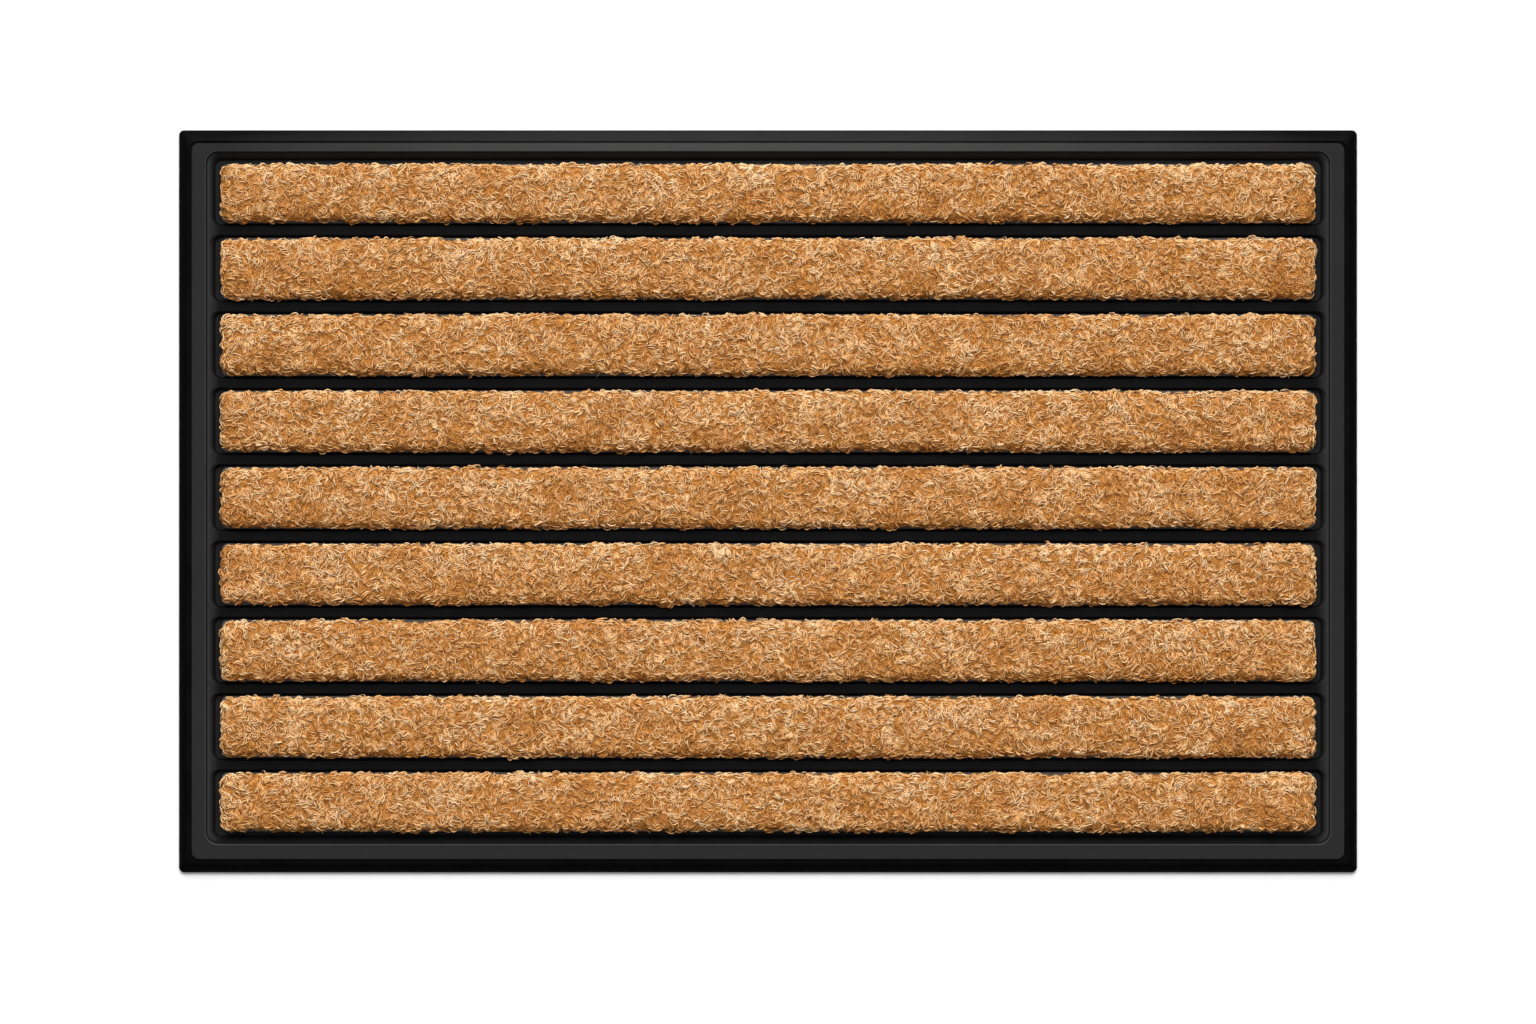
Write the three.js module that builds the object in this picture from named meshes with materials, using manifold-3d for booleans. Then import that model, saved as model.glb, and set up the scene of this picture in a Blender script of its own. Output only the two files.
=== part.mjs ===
// Door mat: a moulded rubber tray with nine coir strips bonded into its pockets.
//
// Millimetres, +Z up. The origin is on the floor under the middle of the mat, +X runs along the
// strips, and +Y points to the back edge. The tray is cut from one lofted slab, and each strip is
// three layers in its pocket: an adhesive coat, a PVC backing and the coir pile.

import * as THREE from 'three';
import { mergeVertices } from 'three/addons/utils/BufferGeometryUtils.js';
import Module from 'manifold-3d';

const wasm = await Module();
wasm.setup();

// ---------------------------------------------------------------- driving dimensions

// Overall size
const MAT_LENGTH = 800;
const MAT_WIDTH = 504;
const MAT_CORNER_RADIUS = 3.5;
const STRIP_COUNT = 9;

// Border, from the outer edge inwards
const FOOT_EDGE_HEIGHT = 2.6;
const SKIRT_WIDTH = 7.9;
const SKIRT_TOP = 7.6;
const SKIRT_CURVE = [[0.32, 0.44], [0.64, 0.77]]; // shares of the skirt's width and rise, going inwards
const GROOVE_WIDTH = 1.4;
const GROOVE_DEPTH = 0.9;
const GROOVE_WALL_RUN = 0.4;
const GROOVE_CORNER_RADIUS = 4.5;
const RIM_TOP = 9;
const RIM_EDGE_RUN = 0.5;
const SIDE_RIM_WIDTH = 10;
const FRONT_RIM_WIDTH = 10.6;
const BACK_RIM_WIDTH = 5.9;
const RIM_CORNER_RADIUS = 5;

// Deck: the level of the ledge round the pockets, the ribs and their webs
const DECK_TOP = 7;
const DECK_CORNER_RADIUS = 8;
const LEDGE_WIDTH = 1.5;

// Pockets and the ribs between them
const RIB_WIDTH = 6.2;
const POCKET_FLOOR = 3;
const POCKET_MOUTH_RADIUS = 7.2;
const POCKET_FLOOR_RADIUS = 4.5;
const OUTER_WALL_RUN = 4.2;
const RIB_WALL_RUN = 1.2;

// Underside
const LAND_WIDTH = 22;
const UNDERSIDE_RELIEF = 1.2;
const STUD_RADIUS = 3.6;
const STUD_DRAFT = 0.5;
const STUDS_PER_ROW = 10;

// Strips: clearances to the pocket's floor outline, and the thickness of each layer
const RIB_CLEARANCE = 0.8;
const SIDE_CLEARANCE = 2.4;
const END_CLEARANCE = 4.6;
const STRIP_CORNER_RADIUS = 4;
const LAYER_GAP = 0.3;
const ADHESIVE_THICKNESS = 0.4;
const ADHESIVE_MARGIN = 1.5;
const BACKING_THICKNESS = 1.4;
const PILE_HEIGHT = 11.1;
const CROWN_RADIUS = 2.8;
const CROWN_RISE = 0.4;
const CROWN_RUN = 4;

// How finely the round corners are cut, and how far a tool reaches past what it cuts
const CORNER_DIVISIONS = 2;
const CROWN_STEPS = 3;
const STUD_SIDES = 8;
const OVERCUT = 2;
const ROOT_DEPTH = 0.5;

// ---------------------------------------------------------------- outlines and lofts

/** A rectangle seen from above, from its four sides. */
function rectangle(left, right, front, back) {
  return { left, right, front, back };
}

/** The same rectangle with its sides moved inwards by their own amounts. */
function insetBy(area, { left, right, front, back }) {
  return rectangle(area.left + left, area.right - right, area.front + front, area.back - back);
}

/** The same rectangle with all four sides moved inwards by one amount. */
function inset(area, amount) {
  return insetBy(area, { left: amount, right: amount, front: amount, back: amount });
}

/** The counter-clockwise points of a rectangle with round corners. */
function roundedOutline({ left, right, front, back }, radius) {
  const shape = new THREE.Shape();
  shape.absarc(right - radius, front + radius, radius, -Math.PI / 2, 0);
  shape.absarc(right - radius, back - radius, radius, 0, Math.PI / 2);
  shape.absarc(left + radius, back - radius, radius, Math.PI / 2, Math.PI);
  shape.absarc(left + radius, front + radius, radius, Math.PI, 1.5 * Math.PI);
  return shape.getPoints(CORNER_DIVISIONS);
}

/** A closed solid through a list of levels { area, radius, z }, capped at the first and the last. */
function loft(levels) {
  const rings = levels.map(({ area, radius }) => roundedOutline(area, radius));
  const size = rings[0].length;
  const positions = rings.flatMap((ring, level) => ring.flatMap(({ x, y }) => [x, y, levels[level].z]));
  const index = [];
  for (let low = 0; low < (rings.length - 1) * size; low += size) {
    for (let i = 0; i < size; i += 1) {
      const next = (i + 1) % size;
      const high = low + size;
      index.push(low + i, low + next, high + next);
      index.push(low + i, high + next, high + i);
    }
  }
  const top = (rings.length - 1) * size;
  for (const [a, b, c] of THREE.ShapeUtils.triangulateShape(rings[0], [])) {
    index.push(c, b, a);
  }
  for (const [a, b, c] of THREE.ShapeUtils.triangulateShape(rings.at(-1), [])) {
    index.push(top + a, top + b, top + c);
  }
  const geometry = new THREE.BufferGeometry();
  geometry.setAttribute('position', new THREE.Float32BufferAttribute(positions, 3));
  geometry.setIndex(index);
  return geometry;
}

// ---------------------------------------------------------------- cutting and joining

/** A three.js geometry as a solid that can be cut and joined. */
function toSolid(geometry) {
  const bare = geometry.clone();
  bare.deleteAttribute('normal');
  bare.deleteAttribute('uv');
  const merged = mergeVertices(bare);
  return new wasm.Manifold(new wasm.Mesh({
    numProp: 3,
    vertProperties: merged.attributes.position.array,
    triVerts: new Uint32Array(merged.index.array),
  }));
}

/** A solid as a three.js geometry. */
function toGeometry(solid) {
  const mesh = solid.getMesh();
  const geometry = new THREE.BufferGeometry();
  geometry.setAttribute('position', new THREE.Float32BufferAttribute(mesh.vertProperties, 3));
  geometry.setIndex(new THREE.Uint32BufferAttribute(mesh.triVerts, 1));
  return geometry;
}

// ---------------------------------------------------------------- layout

const matArea = rectangle(-MAT_LENGTH / 2, MAT_LENGTH / 2, -MAT_WIDTH / 2, MAT_WIDTH / 2);
const skirtArea = inset(matArea, SKIRT_WIDTH);
const rimArea = inset(skirtArea, GROOVE_WIDTH);
const deckArea = insetBy(rimArea, {
  left: SIDE_RIM_WIDTH,
  right: SIDE_RIM_WIDTH,
  front: FRONT_RIM_WIDTH,
  back: BACK_RIM_WIDTH,
});
const pocketsArea = inset(deckArea, LEDGE_WIDTH);

// Every pocket has the same floor width, so the two outer ones are wider at the mouth.
const outerExtra = OUTER_WALL_RUN - RIB_WALL_RUN;
const pocketsWidth = pocketsArea.back - pocketsArea.front;
const pocketWidth = (pocketsWidth - 2 * outerExtra - (STRIP_COUNT - 1) * RIB_WIDTH) / STRIP_COUNT;
const pocketPitch = pocketWidth + RIB_WIDTH;

/** The pocket with this number, counted from 0 at the back edge: its mouth, floor and strip areas. */
function pocketAt(number) {
  const isBack = number === 0;
  const isFront = number === STRIP_COUNT - 1;
  const back = pocketsArea.back - outerExtra - number * pocketPitch;
  const mouth = rectangle(
    pocketsArea.left,
    pocketsArea.right,
    back - pocketWidth - (isFront ? outerExtra : 0),
    back + (isBack ? outerExtra : 0),
  );
  const floor = insetBy(mouth, {
    left: OUTER_WALL_RUN,
    right: OUTER_WALL_RUN,
    front: isFront ? OUTER_WALL_RUN : RIB_WALL_RUN,
    back: isBack ? OUTER_WALL_RUN : RIB_WALL_RUN,
  });
  const strip = insetBy(floor, {
    left: END_CLEARANCE,
    right: END_CLEARANCE,
    front: isFront ? SIDE_CLEARANCE : RIB_CLEARANCE,
    back: isBack ? SIDE_CLEARANCE : RIB_CLEARANCE,
  });
  return { mouth, floor, strip };
}

const pockets = Array.from({ length: STRIP_COUNT }, (_, number) => pocketAt(number));

// ---------------------------------------------------------------- rubber tray

/** The slab with the skirt, groove and rim round the flat deck. */
function traySlab() {
  const grooveFloor = SKIRT_TOP - GROOVE_DEPTH;
  const skirtRise = SKIRT_TOP - FOOT_EDGE_HEIGHT;
  const skirtCurve = SKIRT_CURVE.map(([run, rise]) => ({
    area: inset(matArea, run * SKIRT_WIDTH),
    radius: MAT_CORNER_RADIUS,
    z: FOOT_EDGE_HEIGHT + rise * skirtRise,
  }));
  return loft([
    { area: matArea, radius: MAT_CORNER_RADIUS, z: 0 },
    { area: matArea, radius: MAT_CORNER_RADIUS, z: FOOT_EDGE_HEIGHT },
    ...skirtCurve,
    { area: skirtArea, radius: GROOVE_CORNER_RADIUS, z: SKIRT_TOP },
    { area: inset(skirtArea, GROOVE_WALL_RUN), radius: GROOVE_CORNER_RADIUS, z: grooveFloor },
    { area: inset(rimArea, -GROOVE_WALL_RUN), radius: GROOVE_CORNER_RADIUS, z: grooveFloor },
    { area: rimArea, radius: RIM_CORNER_RADIUS, z: RIM_TOP - RIM_EDGE_RUN },
    { area: inset(rimArea, RIM_EDGE_RUN), radius: RIM_CORNER_RADIUS, z: RIM_TOP },
    { area: inset(deckArea, -RIM_EDGE_RUN), radius: DECK_CORNER_RADIUS, z: RIM_TOP },
    { area: deckArea, radius: DECK_CORNER_RADIUS, z: DECK_TOP },
  ]);
}

/** The cutter of one pocket, whose walls slope at their own angles. */
function pocketCutter({ mouth, floor }) {
  const overshoot = OVERCUT / (DECK_TOP - POCKET_FLOOR);
  const above = insetBy(mouth, {
    left: (mouth.left - floor.left) * overshoot,
    right: (floor.right - mouth.right) * overshoot,
    front: (mouth.front - floor.front) * overshoot,
    back: (floor.back - mouth.back) * overshoot,
  });
  const radiusAbove = POCKET_MOUTH_RADIUS + (POCKET_MOUTH_RADIUS - POCKET_FLOOR_RADIUS) * overshoot;
  return loft([
    { area: floor, radius: POCKET_FLOOR_RADIUS, z: POCKET_FLOOR },
    { area: above, radius: radiusAbove, z: DECK_TOP + OVERCUT },
  ]);
}

/** The relief under the mat, inside the land that it rests on. */
function undersideCutter() {
  const area = inset(matArea, LAND_WIDTH);
  return loft([
    { area, radius: MAT_CORNER_RADIUS, z: -OVERCUT },
    { area, radius: MAT_CORNER_RADIUS, z: UNDERSIDE_RELIEF },
  ]);
}

/** The anti-slip studs in one row under a pocket. */
function studRow({ strip }) {
  const height = UNDERSIDE_RELIEF + ROOT_DEPTH;
  const stud = new THREE.CylinderGeometry(STUD_RADIUS, STUD_RADIUS - STUD_DRAFT, height, STUD_SIDES);
  stud.rotateX(Math.PI / 2);
  const spacing = (strip.right - strip.left) / STUDS_PER_ROW;
  const y = (strip.front + strip.back) / 2;
  return Array.from({ length: STUDS_PER_ROW }, (_, column) => (
    stud.clone().translate(strip.left + (column + 0.5) * spacing, y, height / 2)
  ));
}

function trayGeometry() {
  let tray = toSolid(traySlab());
  for (const pocket of pockets) {
    tray = tray.subtract(toSolid(pocketCutter(pocket)));
  }
  tray = tray.subtract(toSolid(undersideCutter()));
  for (const stud of pockets.flatMap(studRow)) {
    tray = tray.add(toSolid(stud));
  }
  return toGeometry(tray);
}

// ---------------------------------------------------------------- coir strips

/** A flat sheet with the strip's outline. */
function sheetGeometry(area, low, thickness) {
  return loft([
    { area, radius: STRIP_CORNER_RADIUS, z: low },
    { area, radius: STRIP_CORNER_RADIUS, z: low + thickness },
  ]);
}

/** The pile as one block, with a round top edge and a slightly crowned top. */
function pileGeometry(area, low) {
  const shoulder = low + PILE_HEIGHT - CROWN_RISE - CROWN_RADIUS;
  const levels = [{ area, radius: STRIP_CORNER_RADIUS, z: low }];
  for (let step = 0; step <= CROWN_STEPS; step += 1) {
    const angle = (step / CROWN_STEPS) * Math.PI / 2;
    levels.push({
      area: inset(area, CROWN_RADIUS * (1 - Math.cos(angle))),
      radius: STRIP_CORNER_RADIUS,
      z: shoulder + CROWN_RADIUS * Math.sin(angle),
    });
  }
  levels.push({
    area: inset(area, CROWN_RADIUS + CROWN_RUN),
    radius: STRIP_CORNER_RADIUS,
    z: low + PILE_HEIGHT,
  });
  return loft(levels);
}

const adhesiveLow = POCKET_FLOOR + LAYER_GAP;
const backingLow = adhesiveLow + ADHESIVE_THICKNESS + LAYER_GAP;
const pileLow = backingLow + BACKING_THICKNESS + LAYER_GAP;

// ---------------------------------------------------------------- materials and assembly

function rubber() {
  return new THREE.MeshStandardMaterial({ color: 0x1c1c1d, roughness: 0.5, metalness: 0 });
}

function coir() {
  return new THREE.MeshStandardMaterial({ color: 0xbb8650, roughness: 0.95, metalness: 0 });
}

function vinyl() {
  return new THREE.MeshStandardMaterial({ color: 0x3a2f26, roughness: 0.6, metalness: 0 });
}

function adhesive() {
  return new THREE.MeshStandardMaterial({ color: 0xc2a25c, roughness: 0.35, metalness: 0 });
}

function namedMesh(name, geometry, material) {
  geometry.computeVertexNormals();
  const mesh = new THREE.Mesh(geometry, material);
  mesh.name = name;
  return mesh;
}

/** One strip's three layers, from the pocket floor up. */
function stripGroup({ strip }, number) {
  const group = new THREE.Group();
  const coatArea = inset(strip, ADHESIVE_MARGIN);
  const coat = sheetGeometry(coatArea, adhesiveLow, ADHESIVE_THICKNESS);
  const backing = sheetGeometry(strip, backingLow, BACKING_THICKNESS);
  group.add(namedMesh(`adhesive_coat_${number}`, coat, adhesive()));
  group.add(namedMesh(`pile_backing_${number}`, backing, vinyl()));
  group.add(namedMesh(`coir_pile_${number}`, pileGeometry(strip, pileLow), coir()));
  return group;
}

const doorMat = new THREE.Group();
doorMat.name = 'door_mat';
doorMat.add(namedMesh('rubber_tray', trayGeometry(), rubber()));
pockets.forEach((pocket, index) => doorMat.add(stripGroup(pocket, index + 1)));

export default doorMat;
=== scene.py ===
"""Door mat: a black rubber tray with nine strips of coir, seen from straight above on a pale floor."""

import math

import bpy
import numpy as np
from mathutils.geometry import delaunay_2d_cdt
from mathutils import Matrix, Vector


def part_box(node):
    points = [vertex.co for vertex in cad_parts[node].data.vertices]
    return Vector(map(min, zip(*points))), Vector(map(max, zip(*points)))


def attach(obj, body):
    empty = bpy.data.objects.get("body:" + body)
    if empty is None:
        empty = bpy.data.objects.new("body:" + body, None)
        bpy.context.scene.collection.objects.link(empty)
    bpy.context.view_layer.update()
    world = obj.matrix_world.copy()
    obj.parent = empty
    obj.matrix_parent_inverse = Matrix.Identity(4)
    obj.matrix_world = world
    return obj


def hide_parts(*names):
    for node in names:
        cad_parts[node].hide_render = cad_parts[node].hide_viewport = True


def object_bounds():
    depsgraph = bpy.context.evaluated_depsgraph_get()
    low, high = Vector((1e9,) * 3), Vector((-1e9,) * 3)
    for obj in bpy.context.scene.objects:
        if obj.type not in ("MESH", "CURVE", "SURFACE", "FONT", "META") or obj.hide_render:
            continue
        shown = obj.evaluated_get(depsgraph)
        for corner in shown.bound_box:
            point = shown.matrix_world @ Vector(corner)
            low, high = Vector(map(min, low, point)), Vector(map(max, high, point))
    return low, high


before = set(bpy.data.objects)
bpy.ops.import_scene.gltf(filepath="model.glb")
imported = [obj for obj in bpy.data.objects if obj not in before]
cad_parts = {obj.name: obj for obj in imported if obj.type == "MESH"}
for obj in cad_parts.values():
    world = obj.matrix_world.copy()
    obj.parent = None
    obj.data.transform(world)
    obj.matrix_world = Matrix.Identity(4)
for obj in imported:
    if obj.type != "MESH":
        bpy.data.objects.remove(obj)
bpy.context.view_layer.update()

MM = 0.001
STRIPS = [f"coir_pile_{number}" for number in range(1, 10)]

# ---------------------------------------------------------------- tray sizes in mm, after the CAD part

SKIRT_POINTS = ((0, 2.6), (2.53, 4.8), (5.06, 6.45), (7.9, 7.6))  # inset from the outer edge, height
GROOVE_POINTS = ((8.3, 6.7), (8.9, 6.7), (9.3, 8.5), (9.8, 9))
RIM_FLAT_START = 10.5
RIM_TOP, DECK_TOP, POCKET_FLOOR = 9.0, 7.0, 3.0
MAT_RADIUS, RIM_RADIUS, DECK_RADIUS = 3.5, 5.0, 8.0
LEDGE_WIDTH = 1.5
OUTER_WALL_RUN, RIB_WALL_RUN = 4.2, 1.2
MOUTH_RADIUS, FLOOR_RADIUS = 7.2, 4.5
END_CLEARANCE, SIDE_CLEARANCE, RIB_CLEARANCE = 4.6, 2.4, 0.8
LAND_WIDTH, UNDERSIDE_RELIEF = 22.0, 1.2
STUD_PROFILE = ((4.3, 1.2), (3.45, 1.2), (3.1, 0), (2, 0))  # radius, height
STUDS_PER_ROW = 10
LIP_DEPTH = 0.9  # just past the pockets' rounded mouths
CORNER_STEPS, SOFT_STEPS, STUD_SIDES = 10, 4, 20

# How much painted light each part of the rubber carries: 0 is as moulded, 1 is a painted grey sheen, and
# below 0 is painted shade, blacker still.
SKIRT_SHADE = ((0, 7), (-0.3, -0.1))  # inset from the outer edge, painted shade
# Painted light: a sheen on the rim's flat top, a strong highlight on the step's upper edge, a faint light
# on the deck at its foot.
RIM_SHEEN, EDGE_HIGHLIGHT, LEDGE_HIGHLIGHT = 0.95, 2.2, 0.2
# Painted highlights on the pockets' webs and back lips, painted light on their floors, painted shade on
# their walls.
WEB_HIGHLIGHT, LIP_HIGHLIGHT, WALL_SHADE, FLOOR_PAINTED_LIGHT = 1.3, 0.5, -0.08, 0.5


# ---------------------------------------------------------------- outlines and profiles

def area_of(node):
    """A node's plan rectangle in millimetres: left, right, front, back."""
    low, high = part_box(node)
    return np.array([low.x, high.x, low.y, high.y]) / MM


def grown(area, left, right, front, back):
    """A rectangle with its sides moved outwards by their own amounts."""
    return area + np.array([-left, right, -front, back])


def inset(area, amount):
    return grown(area, -amount, -amount, -amount, -amount)


def ring(area, radius, z):
    """The counter-clockwise points of a rectangle with round corners, at one height."""
    left, right, front, back = area
    quarter_turn = math.pi / 2
    turn = np.linspace(0, quarter_turn, CORNER_STEPS)
    corners = ((right - radius, front + radius, -1), (right - radius, back - radius, 0),
               (left + radius, back - radius, 1), (left + radius, front + radius, 2))
    points = []
    for x, y, quarter in corners:
        for angle in turn + quarter * quarter_turn:
            points.append((x + radius * math.cos(angle), y + radius * math.sin(angle), z))
    return np.array(points)


def softened(points, reaches):
    """A polyline whose inner corners are rounded, each over its own reach along both legs."""
    points = np.array(points, float)
    path = [points[0]]
    for before, corner, after, reach in zip(points, points[1:], points[2:], reaches):
        start = corner + (before - corner) * min(0.5, reach / np.linalg.norm(before - corner))
        end = corner + (after - corner) * min(0.5, reach / np.linalg.norm(after - corner))
        for t in np.linspace(0, 1, SOFT_STEPS + 1):
            path.append((1 - t) ** 2 * start + 2 * t * (1 - t) * corner + t ** 2 * end)
    path.append(points[-1])
    return path


class Surface:
    """Collects rings and faces of one closed mesh. Faces made flat keep their own normals."""

    def __init__(self):
        self.points, self.scuff, self.faces, self.smooth = [], [], [], []

    def add_ring(self, points, scuff=0.0):
        """Adds points, with one painted light value for all of them or one for each."""
        first = len(self.points)
        self.points.extend(points)
        self.scuff.extend(np.broadcast_to(scuff, len(points)))
        return np.arange(first, first + len(points))

    def join(self, low, high, smooth=True):
        """Faces between two rings of the same count, facing out when low is the outer or lower one."""
        for a, b, c, d in zip(low, np.roll(low, -1), np.roll(high, -1), high):
            self.faces.append((a, b, c, d))
            self.smooth.append(smooth)

    def join_all(self, rings):
        for low, high in zip(rings, rings[1:]):
            self.join(low, high)

    def plate(self, rings, upwards):
        """A flat face inside the first ring, with the other rings, which are all convex, as its holes."""
        index = np.concatenate(rings)
        spots = [tuple(self.points[i][:2]) for i in index]
        owner = np.concatenate([np.full(len(one), number) for number, one in enumerate(rings)])
        first = np.cumsum([0] + [len(one) for one in rings])
        edges = [(a + i, a + (i + 1) % (b - a)) for a, b in zip(first, first[1:]) for i in range(b - a)]
        _, _, triangles, origins, _, _ = delaunay_2d_cdt(spots, edges, [], 1, 1e-6)
        for triangle in triangles:
            corners = [origins[i][0] for i in triangle]
            owners = {owner[i] for i in corners}
            if len(owners) == 1 and 0 not in owners:
                continue
            order = corners if upwards else corners[::-1]
            self.faces.append(tuple(index[i] for i in order))
            self.smooth.append(False)

    def to_object(self, name):
        mesh = bpy.data.meshes.new(name)
        mesh.from_pydata([tuple(np.array(p) * MM) for p in self.points], [], self.faces)
        mesh.polygons.foreach_set("use_smooth", self.smooth)
        mesh.attributes.new("scuff", "FLOAT", "POINT").data.foreach_set("value", self.scuff)
        mesh.validate()
        piece = bpy.data.objects.new(name, mesh)
        bpy.context.scene.collection.objects.link(piece)
        return piece


# ---------------------------------------------------------------- rubber tray

def outline_radius(e):
    """The corner radius at an inset from the outer edge: wider round the rim than outside it or below."""
    return np.interp(e, (0, 4, 9.3, LAND_WIDTH), (MAT_RADIUS, MAT_RADIUS, RIM_RADIUS, MAT_RADIUS))


def border_scuff(e, z):
    """Painted sheen on the rim, and painted shade on the skirt, blacker the nearer it is to the outer edge.
    """
    on_rim = z > RIM_TOP - 0.3
    return RIM_SHEEN if on_rim else np.interp(e, *SKIRT_SHADE)


def step_scuff(z):
    """A painted highlight on the step's rounded upper edge, the strongest, and faint painted light on the
    deck at its foot.
    """
    if z == RIM_TOP:
        return RIM_SHEEN
    on_edge = z > RIM_TOP - 0.4
    return EDGE_HIGHLIGHT if on_edge else LEDGE_HIGHLIGHT


def outer_rings(surface, mat_area):
    """From the land under the mat, round the foot edge and up the skirt, over the groove to the rim."""
    land = ((LAND_WIDTH + 0.5, UNDERSIDE_RELIEF), (LAND_WIDTH, 0))
    profile = softened(
        land + ((0, 0),) + SKIRT_POINTS + GROOVE_POINTS + ((RIM_FLAT_START, RIM_TOP),),
        (0.3, 0.5, 0.6, 1.4, 1.4, 0.4, 0.2, 0.2, 0.3, 0.3),
    )
    return [
        surface.add_ring(ring(inset(mat_area, e), outline_radius(e), z), border_scuff(e, z))
        for e, z in profile
    ]


def deck_rings(surface, deck_area):
    """From the rim's flat top down the small step to the deck."""
    profile = softened(((-1.4, RIM_TOP), (-0.5, RIM_TOP), (0, DECK_TOP), (0.4, DECK_TOP)), (0.4, 0.35))
    return [
        surface.add_ring(ring(inset(deck_area, e), DECK_RADIUS - e, z), step_scuff(z))
        for e, z in profile
    ]


def pocket_scuff(points, area, radius, drop, share):
    """A pocket has painted highlights at its mouth, along its back and ends, and painted light on its
    floor. Its walls are black with painted shade.
    """
    if drop >= LIP_DEPTH:
        on_floor = share > 0.9
        return FLOOR_PAINTED_LIGHT if on_floor else WALL_SHADE
    at_end = np.clip(1 - (area[1] - np.abs(points[:, 0])) / radius, 0, 1)
    at_back = (points[:, 1] > (area[2] + area[3]) / 2) & (drop > 0.05)
    return np.maximum(WEB_HIGHLIGHT * at_end, LIP_HIGHLIGHT * at_back)


def pocket_rings(surface, mouth, floor):
    """From the deck over the pocket's soft lip, down its sloping walls and onto its floor."""
    depth = DECK_TOP - POCKET_FLOOR
    profile = softened(((-0.8, 0), (0, 0), (0, depth), (1.6, depth)), (0.8, 0.8))
    rings = []
    for e, drop in profile:
        share = drop / depth
        area = inset(mouth + (floor - mouth) * share, e)
        radius = MOUTH_RADIUS + (FLOOR_RADIUS - MOUTH_RADIUS) * share - e
        points = ring(area, radius, DECK_TOP - drop)
        rings.append(surface.add_ring(points, pocket_scuff(points, area, radius, drop, share)))
    return rings


def stud_rings(surface, x, y):
    """One anti-slip stud, from the underside down to the floor, clockwise so that its faces point out."""
    turn = np.linspace(0, -2 * math.pi, STUD_SIDES, endpoint=False)
    rings = []
    for radius, z in softened(STUD_PROFILE, (0.5, 0.4)):
        circle = np.stack([x + radius * np.cos(turn), y + radius * np.sin(turn), np.full(STUD_SIDES, z)], 1)
        rings.append(surface.add_ring(circle))
    return rings


def pocket_areas():
    """Each pocket's mouth and floor rectangle, worked out from the strip that lies in it."""
    areas = []
    for number, node in enumerate(STRIPS):
        front_is_outer, back_is_outer = number == len(STRIPS) - 1, number == 0
        floor = grown(area_of(node), END_CLEARANCE, END_CLEARANCE,
                      SIDE_CLEARANCE if front_is_outer else RIB_CLEARANCE,
                      SIDE_CLEARANCE if back_is_outer else RIB_CLEARANCE)
        mouth = grown(floor, OUTER_WALL_RUN, OUTER_WALL_RUN,
                      OUTER_WALL_RUN if front_is_outer else RIB_WALL_RUN,
                      OUTER_WALL_RUN if back_is_outer else RIB_WALL_RUN)
        areas.append((mouth, floor))
    return areas


def make_tray():
    surface = Surface()
    mat_area = area_of("rubber_tray")
    pockets = pocket_areas()
    first_mouth, last_mouth = pockets[0][0], pockets[-1][0]
    all_mouths = np.array([first_mouth[0], first_mouth[1], last_mouth[2], first_mouth[3]])
    outer = outer_rings(surface, mat_area)
    deck = deck_rings(surface, inset(all_mouths, -LEDGE_WIDTH))
    surface.join_all(outer)
    surface.join(outer[-1], deck[0], smooth=False)
    surface.join_all(deck)
    holes = []
    for mouth, floor in pockets:
        rings = pocket_rings(surface, mouth, floor)
        surface.join_all(rings)
        surface.plate([rings[-1]], upwards=True)
        holes.append(rings[0])
    surface.plate([deck[-1]] + holes, upwards=True)
    stud_roots = []
    for node in STRIPS:
        left, right, front, back = area_of(node)
        spacing = (right - left) / STUDS_PER_ROW
        for column in range(STUDS_PER_ROW):
            rings = stud_rings(surface, left + (column + 0.5) * spacing, (front + back) / 2)
            surface.join_all(rings)
            surface.plate([rings[-1]], upwards=False)
            stud_roots.append(rings[0])
    surface.plate([outer[0]] + stud_roots, upwards=False)
    return surface.to_object("tray_moulding")


# ---------------------------------------------------------------- coir strips

CORE_VOXEL = 1.3 * MM
CORE_INSET = 1.1 * MM  # room left for the loose fibres
CROWN_DROP, CROWN_POWER = 2.0 * MM, 4  # how far the pile's long edges sit below its middle
SHOULDER_RADIUS = 4.6 * MM  # the roll of the pile's edges down to the rubber
EDGE_WAVES = ((0.5 * MM, 34 * MM), (0.35 * MM, 11 * MM), (0.45 * MM, 4.5 * MM))  # amplitude and length
SIDE_TUCK = 0.6 * MM  # how much further the long sides are drawn in than the ends
END_ROUNDING = 5.5 * MM  # plan radius of the pile's corners
CORE_LUMPS = ((0.6 * MM, 9 * MM), (0.5 * MM, 3.2 * MM))  # amplitude and size
LOCKS_PER_STRIP, FIBRES_PER_LOCK = 3600, 3  # fibres that lie side by side and curl the same way
LOCK_LENGTH, LOCK_RADIUS = (5.5 * MM, 9.5 * MM), (0.40 * MM, 0.58 * MM)
LOCK_HALF_WIDTH = (0.5 * MM, 1.1 * MM)
LOCK_RISE = (0.2 * MM, 2.1 * MM)
LOCK_RINGS = 3
STRAYS_PER_STRIP = 1700
STRAY_LENGTH, STRAY_RADIUS = (5.0 * MM, 11.0 * MM), (0.26 * MM, 0.40 * MM)
STRAY_RISE = (0.9 * MM, 2.0 * MM)
STRAY_RINGS = 6
LOCK_CURL, STRAY_CURL = 3.2, 4.6  # the most that a fibre turns along its length, in radians
ROOT_DEPTH = 0.35 * MM
ROOT_SPREAD = 0.35 * MM  # how far a lock's fibres stray from its root
FREE_SHARE = 0.3  # the fibres that stand free at one end, where the others come down again

# Fibre tones run from 0, the deepest brown, to 1, the palest straw.
LOCK_TONE, STRAY_TONE = (0.52, 0.11), (0.66, 0.13)  # mean and spread
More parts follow.
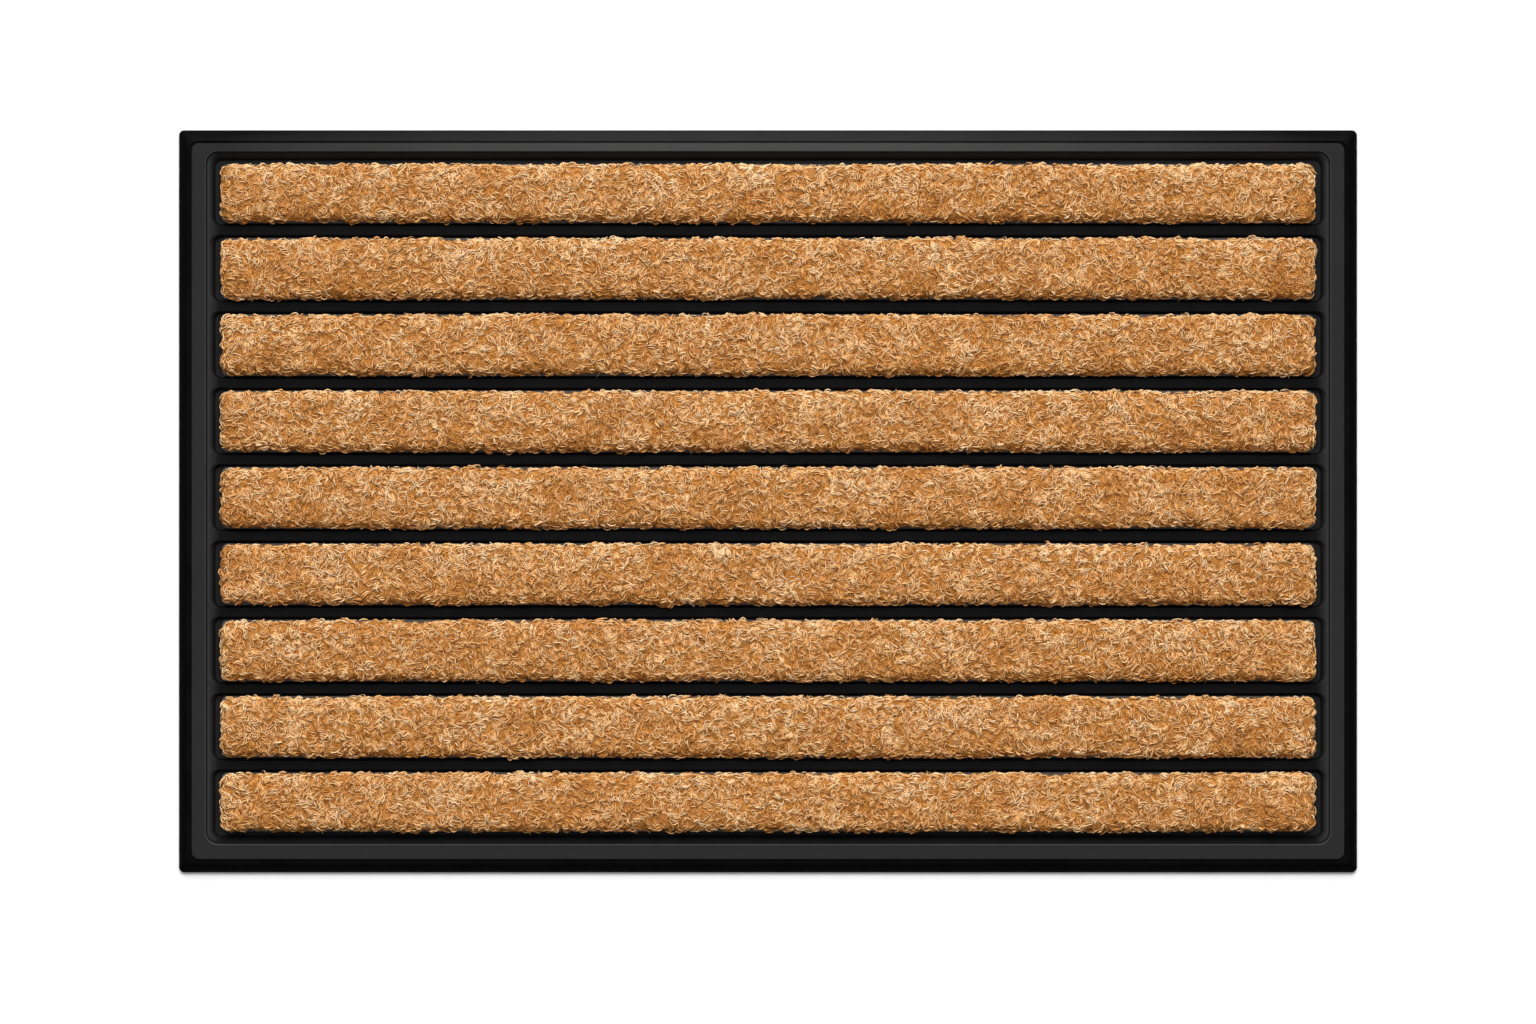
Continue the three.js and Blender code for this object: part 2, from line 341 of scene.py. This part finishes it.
# The second value is painted shade: a lock's outer fibres, which stand lower, are darker than its middle
# ones.
FIBRE_TONE_SPREAD, DOME_SHADE = 0.1, 0.1
SIDE_SHADE, FRONT_SHADE = 0.12, 0.3  # painted shade: how much deeper the pile's steep sides are
ACROSS_PAINTED_LIGHT, ACROSS_LIMIT = 0.15, 0.6  # painted light: tone gained per half width towards the back, and where that stops
SIDE_DENSITY = 0.7  # fibres on the pile's sides for each one on its top, over the same area
HEADING_SPREAD = 0.9
DEPTH_SHADE_PER_MM, MEAN_LIFT = 0.23, 0.9  # painted shade: fibres are darker the lower they lie, and lighter the higher they stand
SWIRL_SIZE = 9 * MM  # locks closer together than this lie roughly the same way


HASH_SIZE, HASH_PRIMES = 4096, np.array([73856093, 19349663, 83492791])


def lattice_noise(points, cell, seed):
    """Smooth noise from -1 to 1 at each point, whose lumps are about one cell across."""
    rng = np.random.default_rng(seed)
    table = rng.uniform(-1, 1, HASH_SIZE)
    scaled = points / cell
    low = np.floor(scaled).astype(np.int64)
    part = scaled - low
    part = part * part * (3 - 2 * part)
    total = np.zeros(len(points))
    for corner in np.ndindex(2, 2, 2):
        at = low + corner
        mixed = at * HASH_PRIMES
        value = table[(mixed[:, 0] ^ mixed[:, 1] ^ mixed[:, 2]) % HASH_SIZE]
        weight = np.prod(np.where(corner, part, 1 - part), axis=1)
        total += weight * value
    return total


def vectors_of(items, name, width=3):
    found = np.empty(len(items) * width, np.float32)
    items.foreach_get(name, found)
    return found.reshape(-1, width).astype(float)


def round_corners(points, middle, half, end):
    """Pulls a strip's four corners in to a wide curve, and its long sides in a little."""
    from_middle = points[:, 1] - middle
    share_x = np.clip((np.abs(points[:, 0]) - (end - CORE_INSET - END_ROUNDING)) / END_ROUNDING, 0, 1)
    share_y = np.clip((np.abs(from_middle) - (half - CORE_INSET - END_ROUNDING)) / END_ROUNDING, 0, 1)
    points[:, 0] -= np.sign(points[:, 0]) * END_ROUNDING * share_x * (1 - np.sqrt(1 - share_y ** 2 / 2))
    points[:, 1] -= np.sign(from_middle) * END_ROUNDING * share_y * (1 - np.sqrt(1 - share_x ** 2 / 2))
    points[:, 1] -= SIDE_TUCK * from_middle / half


def crown_and_wave(points, node, seed):
    """Rounds the pile over its width and ends, and lets its long edges wander a little."""
    low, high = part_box(node)
    middle, half = (low.y + high.y) / 2, (high.y - low.y) / 2
    rise = np.clip((points[:, 2] - low.z) / (high.z - low.z), 0, 1)
    across = (points[:, 1] - middle) / half
    from_edge = np.minimum(half - np.abs(points[:, 1] - middle), high.x - np.abs(points[:, 0])) - CORE_INSET
    overhang = np.clip(SHOULDER_RADIUS - from_edge, 0, SHOULDER_RADIUS)
    round_corners(points, middle, half, high.x)
    shoulder = SHOULDER_RADIUS - np.sqrt(SHOULDER_RADIUS ** 2 - overhang ** 2)
    points[:, 2] -= (CROWN_DROP * np.abs(across) ** CROWN_POWER + shoulder) * rise
    along = points * np.array([1, 0, 0])
    back_edge = across > 0
    for number, (amplitude, length) in enumerate(EDGE_WAVES):
        waves = [lattice_noise(along, length, seed + 20 + 2 * number + edge) for edge in (0, 1)]
        points[:, 1] += amplitude * np.where(back_edge, waves[0], waves[1]) * across ** 2
    return points


def make_core(node, seed):
    """The dense body of one strip's pile: the CAD block, finely meshed, crowned and made lumpy."""
    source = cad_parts[node]
    piece = bpy.data.objects.new(node.replace("pile", "core"), source.data.copy())
    bpy.context.scene.collection.objects.link(piece)
    piece.data.materials.clear()
    bpy.ops.object.select_all(action="DESELECT")
    bpy.context.view_layer.objects.active = piece
    piece.select_set(True)
    piece.data.remesh_voxel_size = CORE_VOXEL
    bpy.ops.object.voxel_remesh()
    mesh = piece.data
    points = vectors_of(mesh.vertices, "co")
    normals = vectors_of(mesh.vertices, "normal")
    outward = -CORE_INSET * normals
    for number, (amplitude, size) in enumerate(CORE_LUMPS):
        outward += normals * amplitude * lattice_noise(points, size, seed + number)[:, None]
    points = crown_and_wave(points + outward, node, seed)
    mesh.vertices.foreach_set("co", points.ravel())
    mesh.polygons.foreach_set("use_smooth", np.ones(len(mesh.polygons), bool))
    mesh.update()
    return piece


def rooted_on(core, count, rng):
    """Places drawn evenly over the core's top and sides, with the surface's normal at each."""
    mesh = core.data
    centres = vectors_of(mesh.polygons, "center")
    normals = vectors_of(mesh.polygons, "normal")
    area = vectors_of(mesh.polygons, "area", 1)[:, 0]
    density = np.where(normals[:, 2] > 0.5, 1, SIDE_DENSITY)
    weight = area * np.where(normals[:, 2] < -0.3, 0, density)
    drawn = rng.choice(len(weight), count, p=weight / weight.sum())
    jitter = rng.normal(0, 0.5 * CORE_VOXEL, (count, 3))
    normal = normals[drawn]
    jitter -= normal * (jitter * normal).sum(1, keepdims=True)
    return centres[drawn] + jitter, normal


def unit(vectors):
    return vectors / np.linalg.norm(vectors, axis=-1, keepdims=True)


def fibre_paths(roots, normals, heading, length, curl, rise, steps, rng, offset=0):
    """Each fibre's points: a curl over the body, rooted at one end or both, set aside by its offset."""
    count = len(roots)
    facing = np.stack([np.cos(heading), np.sin(heading), rng.normal(0, 0.3, count)], 1)
    side = unit(np.cross(normals, facing))
    ahead = np.cross(side, normals)
    share = np.linspace(0, 1, steps)[None]
    middle = (share[:, 1:] + share[:, :-1]) / 2
    start = np.zeros((count, 1))
    stride = length[:, None] / (steps - 1)
    along = np.concatenate([start, np.cumsum(np.cos(curl[:, None] * (middle - 0.5)) * stride, 1)], 1)
    across = np.concatenate([start, np.cumsum(np.sin(curl[:, None] * (middle - 0.5)) * stride, 1)], 1)
    along -= along.mean(1, keepdims=True)
    across -= across.mean(1, keepdims=True)
    aside = np.broadcast_to(offset, count)[:, None] * (0.5 + 0.5 * np.sin(math.pi * share))
    turn = curl[:, None] * (share - 0.5)
    along -= aside * np.sin(turn)
    across += aside * np.cos(turn)
    free = (rng.random(count) < FREE_SHARE)[:, None]
    profile = np.where(free, share ** 1.3, np.sin(math.pi * share) ** 0.8)
    height = profile * (rise[:, None] + ROOT_DEPTH) - ROOT_DEPTH
    return (roots[:, None] + along[..., None] * ahead[:, None] + across[..., None] * side[:, None]
            + height[..., None] * normals[:, None])


def tube_points(paths, normals, radius):
    """The points of each fibre: its two ends, and a three-sided ring at each point between them."""
    count, steps = paths.shape[:2]
    tangent = unit(paths[:, 2:] - paths[:, :-2])
    side = unit(np.cross(tangent, normals[:, None]))
    up = np.cross(side, tangent)
    swell = np.sin(np.linspace(0, math.pi, steps)[1:-1]) ** 0.5
    thick = radius[:, None, None] * swell[None, :, None]
    rings = [
        paths[:, 1:-1] + thick * (math.cos(a) * side + math.sin(a) * up)
        for a in (math.pi / 2, math.pi * 7 / 6, math.pi * 11 / 6)
    ]
    rings = np.stack(rings, 2).reshape(count, -1, 3)
    return np.concatenate([paths[:, :1], rings, paths[:, -1:]], 1)


def tube_faces(rings):
    """One fibre's faces. Each corner is (point, side along the unrolled tube, place along the fibre)."""
    last = 3 * rings + 1
    faces = []
    for side in range(3):
        a, b = side, (side + 1) % 3
        faces.append(((0, side + 0.5, 0), (1 + a, side, 1), (1 + b, side + 1, 1)))
        for ring in range(1, rings):
            low, high = 3 * ring - 2, 3 * ring + 1
            faces.append(((low + b, side + 1, ring), (low + a, side, ring),
                          (high + a, side, ring + 1), (high + b, side + 1, ring + 1)))
        top = last - 3
        faces.append(((last, side + 0.5, rings + 1), (top + b, side + 1, rings), (top + a, side, rings)))
    return faces


def tube_mesh(name, points, tones, rings):
    """Many fibres as one mesh, each a closed tube with its own cell on the bake map."""
    count, size = points.shape[:2]
    faces = tube_faces(rings)
    corners = np.array([corner[0] for face in faces for corner in face])
    totals = np.tile([len(face) for face in faces], count)
    mesh = bpy.data.meshes.new(name)
    mesh.vertices.add(count * size)
    mesh.vertices.foreach_set("co", points.astype(np.float32).ravel())
    loops = (corners[None] + size * np.arange(count)[:, None]).ravel()
    mesh.loops.add(len(loops))
    mesh.loops.foreach_set("vertex_index", loops.astype(np.int32))
    mesh.polygons.add(len(totals))
    mesh.polygons.foreach_set("loop_start", (np.cumsum(totals) - totals).astype(np.int32))
    mesh.polygons.foreach_set("use_smooth", np.ones(len(totals), bool))
    mesh.update(calc_edges=True)
    tone = mesh.attributes.new("tone", "FLOAT", "POINT")
    tone.data.foreach_set("value", tones.astype(np.float32).ravel())
    lay_bake_map(mesh, count, faces, rings)
    return mesh


def lay_bake_map(mesh, count, faces, rings):
    """Gives every fibre a cell of its own on the map, with its unrolled tube in it."""
    border = 0.35
    spots = np.array([corner[1:] for face in faces for corner in face], float)
    spots = (spots + border) / (np.array([3, rings + 1]) + 2 * border)
    columns = math.ceil(math.sqrt(count))
    cells = np.arange(count)
    origin = np.stack([cells % columns, cells // columns], 1)
    layer = mesh.uv_layers.new(name="OFBake")
    layer.uv.foreach_set("vector", ((origin[:, None] + spots[None]) / columns).astype(np.float32).ravel())


def link_fibres(name, paths, normals, radius, tones, rings):
    points = tube_points(paths, normals, radius)
    step = np.concatenate([[0], np.repeat(np.arange(rings) + 1, 3), [rings + 1]])
    lift = ((paths - paths[:, :1]) * normals[:, None]).sum(2)[:, step] / MM
    # Painted shade: each fibre is darker where it lies low among the others.
    shades = tones[:, None] + DEPTH_SHADE_PER_MM * (lift - MEAN_LIFT)
    piece = bpy.data.objects.new(name, tube_mesh(name, points, shades, rings))
    bpy.context.scene.collection.objects.link(piece)
    return piece


def painted_place_light(node, roots, normals):
    """What a fibre's place adds to its tone: painted light, palest at the strip's back, and painted shade,
    deepest on its front side.
    """
    low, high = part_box(node)
    across = (2 * roots[:, 1] - low.y - high.y) / (high.y - low.y)
    steep = np.clip((0.8 - normals[:, 2]) / 0.5, 0, 1)
    side_shade = steep * np.where(normals[:, 1] < -0.3, FRONT_SHADE, SIDE_SHADE)
    return ACROSS_PAINTED_LIGHT * np.minimum(across, ACROSS_LIMIT) - side_shade


def make_locks(core, node, seed):
    """The pile's surface: small locks of fibres, each lock domed and curled as one."""
    rng = np.random.default_rng(seed)
    roots, normals = rooted_on(core, LOCKS_PER_STRIP, rng)
    heading = math.pi * lattice_noise(roots, SWIRL_SIZE, seed + 40)
    heading += rng.normal(0, HEADING_SPREAD, LOCKS_PER_STRIP)
    length = rng.uniform(*LOCK_LENGTH, LOCKS_PER_STRIP)
    curl = rng.uniform(-LOCK_CURL, LOCK_CURL, LOCKS_PER_STRIP)
    half_width = rng.uniform(*LOCK_HALF_WIDTH, LOCKS_PER_STRIP)
    rise = rng.uniform(*LOCK_RISE, LOCKS_PER_STRIP)
    lock_tone = rng.normal(*LOCK_TONE, LOCKS_PER_STRIP) + painted_place_light(node, roots, normals)
    member = np.repeat(np.arange(LOCKS_PER_STRIP), FIBRES_PER_LOCK)
    count = len(member)
    place = np.tile(np.linspace(-1, 1, FIBRES_PER_LOCK), LOCKS_PER_STRIP)
    dome = 1 - 0.6 * place ** 2
    paths = fibre_paths(
        roots[member] + rng.normal(0, ROOT_SPREAD, (count, 3)), normals[member],
        heading[member] + rng.normal(0, 0.12, count),
        length[member] * rng.uniform(0.8, 1.1, count),
        curl[member] + rng.normal(0, 0.35, count),
        rise[member] * dome * rng.uniform(0.75, 1.15, count),
        LOCK_RINGS + 2, rng, offset=place * half_width[member])
    tones = lock_tone[member] + rng.normal(0, FIBRE_TONE_SPREAD, count) + DOME_SHADE * (dome - 0.7)
    radius = rng.uniform(*LOCK_RADIUS, count)
    return link_fibres(node.replace("pile", "locks"), paths, normals[member], radius, tones, LOCK_RINGS)


def make_strays(core, node, seed):
    """Single light fibres that curl over the locks."""
    rng = np.random.default_rng(seed)
    roots, normals = rooted_on(core, STRAYS_PER_STRIP, rng)
    heading = rng.uniform(-math.pi, math.pi, STRAYS_PER_STRIP)
    length = rng.uniform(*STRAY_LENGTH, STRAYS_PER_STRIP)
    curl = rng.uniform(-STRAY_CURL, STRAY_CURL, STRAYS_PER_STRIP)
    rise = rng.uniform(*STRAY_RISE, STRAYS_PER_STRIP)
    paths = fibre_paths(roots, normals, heading, length, curl, rise, STRAY_RINGS + 2, rng)
    tones = rng.normal(*STRAY_TONE, STRAYS_PER_STRIP) + painted_place_light(node, roots, normals)
    radius = rng.uniform(*STRAY_RADIUS, STRAYS_PER_STRIP)
    return link_fibres(node.replace("pile", "strays"), paths, normals, radius, tones, STRAY_RINGS)


# ---------------------------------------------------------------- materials

def new_material(name):
    material = bpy.data.materials.new(name)
    material.use_nodes = True
    tree = material.node_tree
    return material, tree, tree.nodes["Principled BSDF"]


def node_of(tree, kind, **values):
    node = tree.nodes.new(kind)
    for key, value in values.items():
        if hasattr(node, key):
            setattr(node, key, value)
        else:
            node.inputs[key.replace("_", " ").title()].default_value = value
    return node


def noise(tree, scale, detail=3.0, roughness=0.55, distortion=0.0):
    """A noise pattern in the piece's own coordinates, with scale in lumps per metre."""
    coordinates = node_of(tree, "ShaderNodeTexCoord")
    pattern = node_of(tree, "ShaderNodeTexNoise")
    pattern.inputs["Scale"].default_value = scale
    pattern.inputs["Detail"].default_value = detail
    pattern.inputs["Roughness"].default_value = roughness
    pattern.inputs["Distortion"].default_value = distortion
    tree.links.new(coordinates.outputs["Object"], pattern.inputs["Vector"])
    return pattern.outputs["Fac"]


def ramp(tree, source, stops):
    """A colour ramp over a value, from (position, colour) stops."""
    node = node_of(tree, "ShaderNodeValToRGB")
    elements = node.color_ramp.elements
    while len(elements) < len(stops):
        elements.new(0.5)
    for element, (position, colour) in zip(elements, stops):
        element.position = position
        element.color = (*colour, 1)
    tree.links.new(source, node.inputs["Fac"])
    return node.outputs["Color"]


def maths(tree, operation, first, second):
    node = node_of(tree, "ShaderNodeMath")
    node.operation = operation
    for socket, value in zip(node.inputs, (first, second)):
        if isinstance(value, (int, float)):
            socket.default_value = value
        else:
            tree.links.new(value, socket)
    return node.outputs[0]


def bump(tree, shader, height, strength, distance, below=None):
    node = node_of(tree, "ShaderNodeBump")
    node.inputs["Strength"].default_value = strength
    node.inputs["Distance"].default_value = distance
    tree.links.new(height, node.inputs["Height"])
    if below:
        tree.links.new(below, node.inputs["Normal"])
    tree.links.new(node.outputs["Normal"], shader.inputs["Normal"])
    return node.outputs["Normal"]


RUBBER_STOPS = (
    (0.0, (0.0010, 0.0010, 0.0011)),
    (0.08, (0.0046, 0.0046, 0.0048)),
    (0.5, (0.0185, 0.0185, 0.0188)),
    (1.0, (0.0500, 0.0500, 0.0500)),
)
MOULDED_TONE, PAINTED_LIGHT_TONE, CLOUD_TONE = 0.07, 0.42, 0.25  # what each adds to the place on the ramp
# The back border's painted reflection: where it starts, how softly it blends in, and half its length.
BACK_BORDER, BORDER_BLEND, SHEEN_HALF_LENGTH = 0.2365, 0.001, 0.37  # metres


def lightened_back_border(tree):
    """The back border's painted reflection: how much greyer it is than the rest, most at its middle, and
    nothing at its ends.
    """
    coordinates = node_of(tree, "ShaderNodeTexCoord")
    split = node_of(tree, "ShaderNodeSeparateXYZ")
    tree.links.new(coordinates.outputs["Object"], split.inputs[0])
    from_middle = maths(tree, "DIVIDE", split.outputs["X"], SHEEN_HALF_LENGTH)
    bell = maths(tree, "SUBTRACT", 1.0, maths(tree, "MULTIPLY", from_middle, from_middle))
    bell = maths(tree, "MAXIMUM", bell, 0.0)
    inside = maths(tree, "DIVIDE", maths(tree, "SUBTRACT", split.outputs["Y"], BACK_BORDER), BORDER_BLEND)
    inside = maths(tree, "MINIMUM", maths(tree, "MAXIMUM", inside, 0.0), 1.0)
    return maths(tree, "MULTIPLY", bell, inside)


def rubber_material():
    """Black moulded rubber: greyer where painted light lies and blacker where painted shade lies, with
    clouds, a fine grain and an uneven surface.
    """
    material, tree, shader = new_material("moulded_rubber")
    scuff = node_of(tree, "ShaderNodeAttribute", attribute_name="scuff").outputs["Fac"]
    cloud = maths(tree, "MULTIPLY_ADD", noise(tree, 28, detail=4), 0.4)
    cloud.node.inputs[2].default_value = -0.2
    # Painted light and shade from the attribute, plus the back border's painted reflection, move each point
    # along the ramp.
    lightened = maths(tree, "ADD", scuff, lightened_back_border(tree))
    moulded = maths(tree, "ADD", maths(tree, "MULTIPLY", cloud, CLOUD_TONE), MOULDED_TONE)
    ramp_place = maths(tree, "ADD", maths(tree, "MULTIPLY", lightened, PAINTED_LIGHT_TONE), moulded)
    tree.links.new(ramp(tree, ramp_place, RUBBER_STOPS), shader.inputs["Base Color"])
    rough = maths(tree, "MULTIPLY_ADD", noise(tree, 90), 0.18)
    rough.node.inputs[2].default_value = 0.44
    tree.links.new(rough, shader.inputs["Roughness"])
    shader.inputs["Specular IOR Level"].default_value = 0.03
    wave = bump(tree, shader, noise(tree, 45, detail=2), 0.25, 0.6 * MM)
    bump(tree, shader, noise(tree, 2600, detail=2), 0.2, 0.05 * MM, below=wave)
    return material


# The core's browns are darker than the fibres': painted shade in the gaps between them.
CORE_STOPS = ((0.0, (0.20, 0.055, 0.005)), (0.5, (0.36, 0.130, 0.022)), (1.0, (0.55, 0.250, 0.065)))
COIR_STOPS = (
    (0.0, (0.410, 0.160, 0.031)),
    (0.3, (0.592, 0.284, 0.090)),
    (0.6, (0.730, 0.423, 0.176)),
    (0.85, (0.790, 0.533, 0.284)),
    (1.0, (0.815, 0.600, 0.358)),
)


def coir_fibre_material():
    """Single coconut fibres: every one has its own tone, over slow patches of lighter and darker pile."""
    material, tree, shader = new_material("coir_fibre")
    tone = node_of(tree, "ShaderNodeAttribute", attribute_name="tone")
    patches = maths(tree, "MULTIPLY_ADD", noise(tree, 45, detail=3), 1.56)
    patches.node.inputs[2].default_value = -0.78
    total = maths(tree, "ADD", tone.outputs["Fac"], patches)
    tree.links.new(ramp(tree, total, COIR_STOPS), shader.inputs["Base Color"])
    shader.inputs["Roughness"].default_value = 0.75
    shader.inputs["Specular IOR Level"].default_value = 0.12
    return material


def coir_core_material():
    """The matted pile between the loose fibres: thin curved lines of fibre over dark gaps of painted shade.
    """
    material, tree, shader = new_material("coir_core")
    strands = None
    for scale, distortion in ((260, 1.6), (380, 2.2)):
        from_mean = maths(tree, "SUBTRACT", noise(tree, scale, 1.5, 0.5, distortion), 0.5)
        line = maths(tree, "ABSOLUTE", from_mean, 0)
        line = maths(tree, "SUBTRACT", 1.0, maths(tree, "MULTIPLY", line, 9.0))
        strands = line if strands is None else maths(tree, "MAXIMUM", strands, line)
    tree.links.new(ramp(tree, strands, CORE_STOPS), shader.inputs["Base Color"])
    shader.inputs["Roughness"].default_value = 0.9
    shader.inputs["Specular IOR Level"].default_value = 0.1
    bump(tree, shader, strands, 0.8, 0.5 * MM)
    return material


def vinyl_material():
    material, tree, shader = new_material("vinyl_backing")
    stops = ((0.3, (0.035, 0.026, 0.02)), (0.7, (0.055, 0.042, 0.033)))
    tree.links.new(ramp(tree, noise(tree, 120), stops), shader.inputs["Base Color"])
    shader.inputs["Roughness"].default_value = 0.6
    bump(tree, shader, noise(tree, 900), 0.3, 0.1 * MM)
    return material


def adhesive_material():
    material, tree, shader = new_material("adhesive_film")
    stops = ((0.3, (0.42, 0.27, 0.08)), (0.7, (0.6, 0.42, 0.15)))
    tree.links.new(ramp(tree, noise(tree, 80), stops), shader.inputs["Base Color"])
    shader.inputs["Roughness"].default_value = 0.35
    bump(tree, shader, noise(tree, 300), 0.4, 0.2 * MM)
    return material


def floor_material():
    material, tree, shader = new_material("pale_floor")
    stops = ((0.0, (0.765, 0.765, 0.765)), (1.0, (0.775, 0.775, 0.775)))
    tree.links.new(ramp(tree, noise(tree, 3), stops), shader.inputs["Base Color"])
    shader.inputs["Roughness"].default_value = 0.9
    shader.inputs["Specular IOR Level"].default_value = 0.0
    return material


# ---------------------------------------------------------------- stage

CAMERA_LENS, SENSOR_WIDTH = 100.0, 36.0
FRAME_WIDTH = 1.044  # metres across the picture at the mat's outline
MAT_ABOVE_CENTRE = 0.00725  # metres that the mat's middle lies above the picture's
FLOOR_HALF, FLOOR_DROP = 40.0, 0.0002  # metres: half the floor's side, and its depth under the mat


def make_camera():
    camera = bpy.data.objects.new("camera", bpy.data.cameras.new("camera"))
    camera.data.lens, camera.data.sensor_width = CAMERA_LENS, SENSOR_WIDTH
    distance = FRAME_WIDTH * CAMERA_LENS / SENSOR_WIDTH
    camera.location = (0, -MAT_ABOVE_CENTRE, distance)
    bpy.context.scene.collection.objects.link(camera)
    bpy.context.scene.camera = camera


def soft_sun(name, energy, spread, tilt):
    """An even light from a broad patch of sky, with its spread and its tilt from overhead in degrees."""
    light = bpy.data.objects.new(name, bpy.data.lights.new(name, "SUN"))
    light.data.energy, light.data.angle = energy, math.radians(spread)
    light.rotation_euler = (-math.radians(tilt), 0, 0)
    bpy.context.scene.collection.objects.link(light)


def back_panel(strength, width, depth, y, z):
    """A small softbox over the back edge, whose reflection lies along the middle of the back rim."""
    light = bpy.data.objects.new("back_panel", bpy.data.lights.new("back_panel", "AREA"))
    light.data.shape, light.data.size, light.data.size_y = "RECTANGLE", width, depth
    light.data.energy = strength * math.pi * width * depth
    light.location = (0, y, z)
    light.visible_camera = False
    bpy.context.scene.collection.objects.link(light)


def make_lights():
    """A broad key from behind the mat, a softbox above it, a panel over its back edge and a weak fill."""
    soft_sun("key", energy=4.0, spread=56, tilt=46)
    soft_sun("softbox", energy=1.2, spread=100, tilt=0)
    back_panel(strength=7.0, width=0.6, depth=0.22, y=0.5, z=1.1)
    world = bpy.data.worlds.new("studio")
    world.use_nodes = True
    background = world.node_tree.nodes["Background"]
    background.inputs["Color"].default_value = (1, 1, 1, 1)
    background.inputs["Strength"].default_value = 0.05
    bpy.context.scene.world = world
    bpy.context.scene.view_settings.view_transform = "Standard"


def make_floor():
    mesh = bpy.data.meshes.new("floor")
    half, low = FLOOR_HALF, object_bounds()[0][2] - FLOOR_DROP
    corners = [(-half, -half, low), (half, -half, low), (half, half, low), (-half, half, low)]
    mesh.from_pydata(corners, [], [(0, 1, 2, 3)])
    floor = bpy.data.objects.new("floor", mesh)
    floor.data.materials.append(floor_material())
    bpy.context.scene.collection.objects.link(floor)


# ---------------------------------------------------------------- assembly

def place(piece, material, slot, *nodes):
    """Gives a new piece its material, hangs it under the root body, and hides the CAD nodes it stands for.
    """
    piece.data.materials.append(material)
    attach(piece, "root")
    if nodes:
        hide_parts(*nodes)


def wear(prefix, material):
    """Gives a material to every CAD node whose name starts like this."""
    for name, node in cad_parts.items():
        if name.startswith(prefix):
            node.data.materials.clear()
            node.data.materials.append(material)


make_camera()
make_lights()
make_floor()
place(make_tray(), rubber_material(), "tray_rubber", "rubber_tray")
core_look, fibre_look = coir_core_material(), coir_fibre_material()
for number, node in enumerate(STRIPS):
    core = make_core(node, seed=10 * number)
    locks = make_locks(core, node, seed=500 + number)
    strays = make_strays(core, node, seed=900 + number)
    place(core, core_look, "coir_fibre", node)
    place(locks, fibre_look, "coir_fibre")
    place(strays, fibre_look, "coir_fibre")
wear("pile_backing", vinyl_material())
wear("adhesive_coat", adhesive_material())
